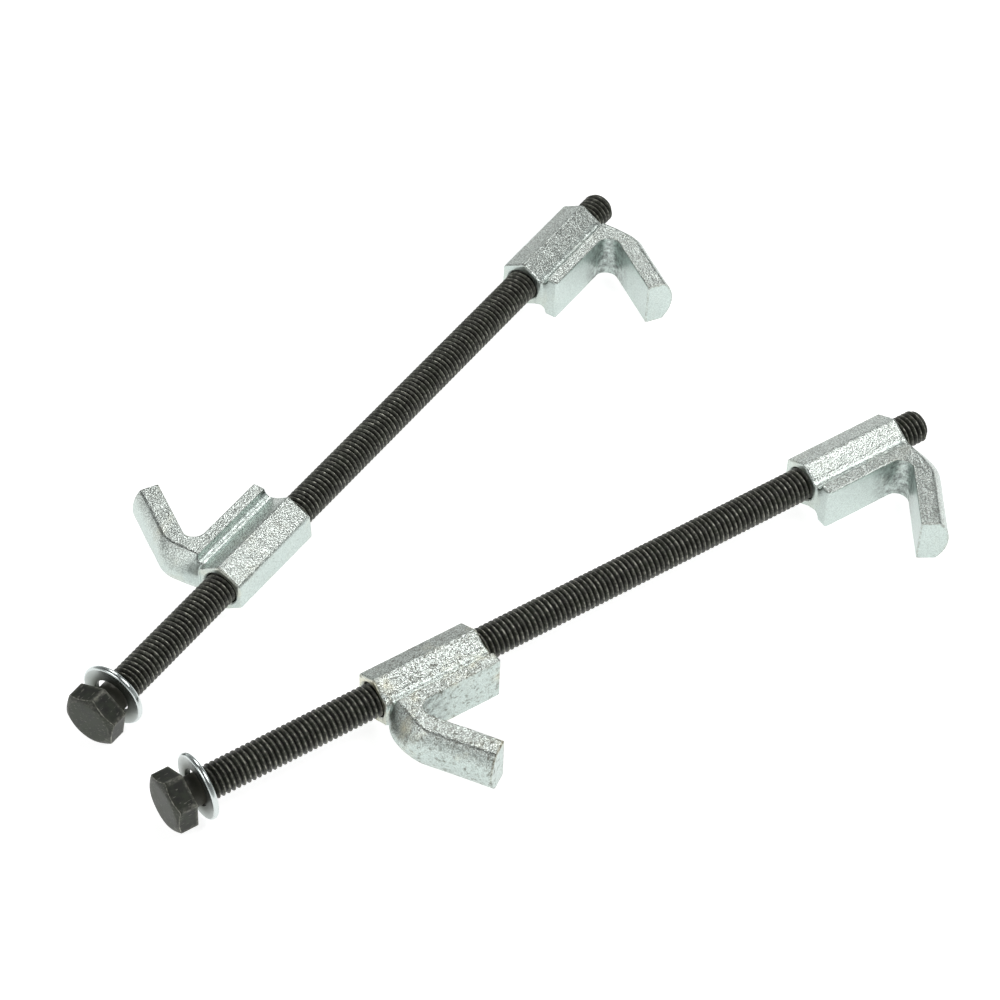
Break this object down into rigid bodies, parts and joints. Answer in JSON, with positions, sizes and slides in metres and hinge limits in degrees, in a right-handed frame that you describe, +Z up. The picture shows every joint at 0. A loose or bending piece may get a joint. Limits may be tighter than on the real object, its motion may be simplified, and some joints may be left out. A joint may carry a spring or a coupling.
{
  "type": "coil spring compressor",
  "caption": "Screw-type coil spring compressors: long hex-head bolts, each with a loose washer, a sliding hooked claw and a threaded hooked claw.",
  "frame": {"origin": "middle of the pair's footprint, on the floor they lie on", "axes": "+X from the bolt heads towards the bolt tips, halfway between the two bolts' directions; +Y towards the left tool; +Z up"},
  "size_m": [0.3635, 0.245, 0.0276],
  "materials": {
    "bolt_black": "black oxide, lightly oiled",
    "washer_zinc": "bright zinc plate",
    "claw_zinc": "blasted forging under clear zinc plate"
  },
  "bodies": {
    "left_bolt": {"left_bolt": "bolt_black"},
    "left_washer": {"left_washer": "washer_zinc"},
    "left_sliding_claw": {"left_sliding_claw": "claw_zinc"},
    "left_threaded_claw": {"left_threaded_claw": "claw_zinc"},
    "right_bolt": {"right_bolt": "bolt_black"},
    "right_washer": {"right_washer": "washer_zinc"},
    "right_sliding_claw": {"right_sliding_claw": "claw_zinc"},
    "right_threaded_claw": {"right_threaded_claw": "claw_zinc"}
  },
  "joints": [
    {"name": "left_bolt_slide", "type": "slide", "parent": "left_sliding_claw", "child": "left_washer", "axis": [0.9818, 0.19, 0], "range_m": [0, 0.064]},
    {"name": "left_bolt_turn", "type": "hinge", "parent": "left_washer", "child": "left_bolt", "pos_m": [-0.1726, 0.0467, 0.0128], "axis": [0.9818, 0.19, 0], "range_deg": [-2319, 26559]},
    {"name": "left_threaded_claw_travel", "type": "slide", "parent": "left_washer", "child": "left_threaded_claw", "axis": [-0.9818, -0.19, 0], "range_m": [-0.0145, 0.166]},
    {"name": "right_bolt_slide", "type": "slide", "parent": "right_sliding_claw", "child": "right_washer", "axis": [0.9818, -0.19, 0], "range_m": [0, 0.073]},
    {"name": "right_bolt_turn", "type": "hinge", "parent": "right_washer", "child": "right_bolt", "pos_m": [-0.1797, -0.0043, 0.0128], "axis": [0.9818, -0.19, 0], "range_deg": [-2159, 25199]},
    {"name": "right_threaded_claw_travel", "type": "slide", "parent": "right_washer", "child": "right_threaded_claw", "axis": [-0.9818, 0.19, 0], "range_m": [-0.0135, 0.1575]},
    {"name": "right_tool_lift", "type": "slide", "parent": "left_sliding_claw", "child": "right_sliding_claw", "axis": [0, 0, 1], "range_m": [0, 0.08]}
  ],
  "couplings": [
    {"joint": "left_threaded_claw_travel", "follows": "left_bolt_turn", "m_per_rad": 0.0003581},
    {"joint": "right_threaded_claw_travel", "follows": "right_bolt_turn", "m_per_rad": 0.0003581}
  ]
}
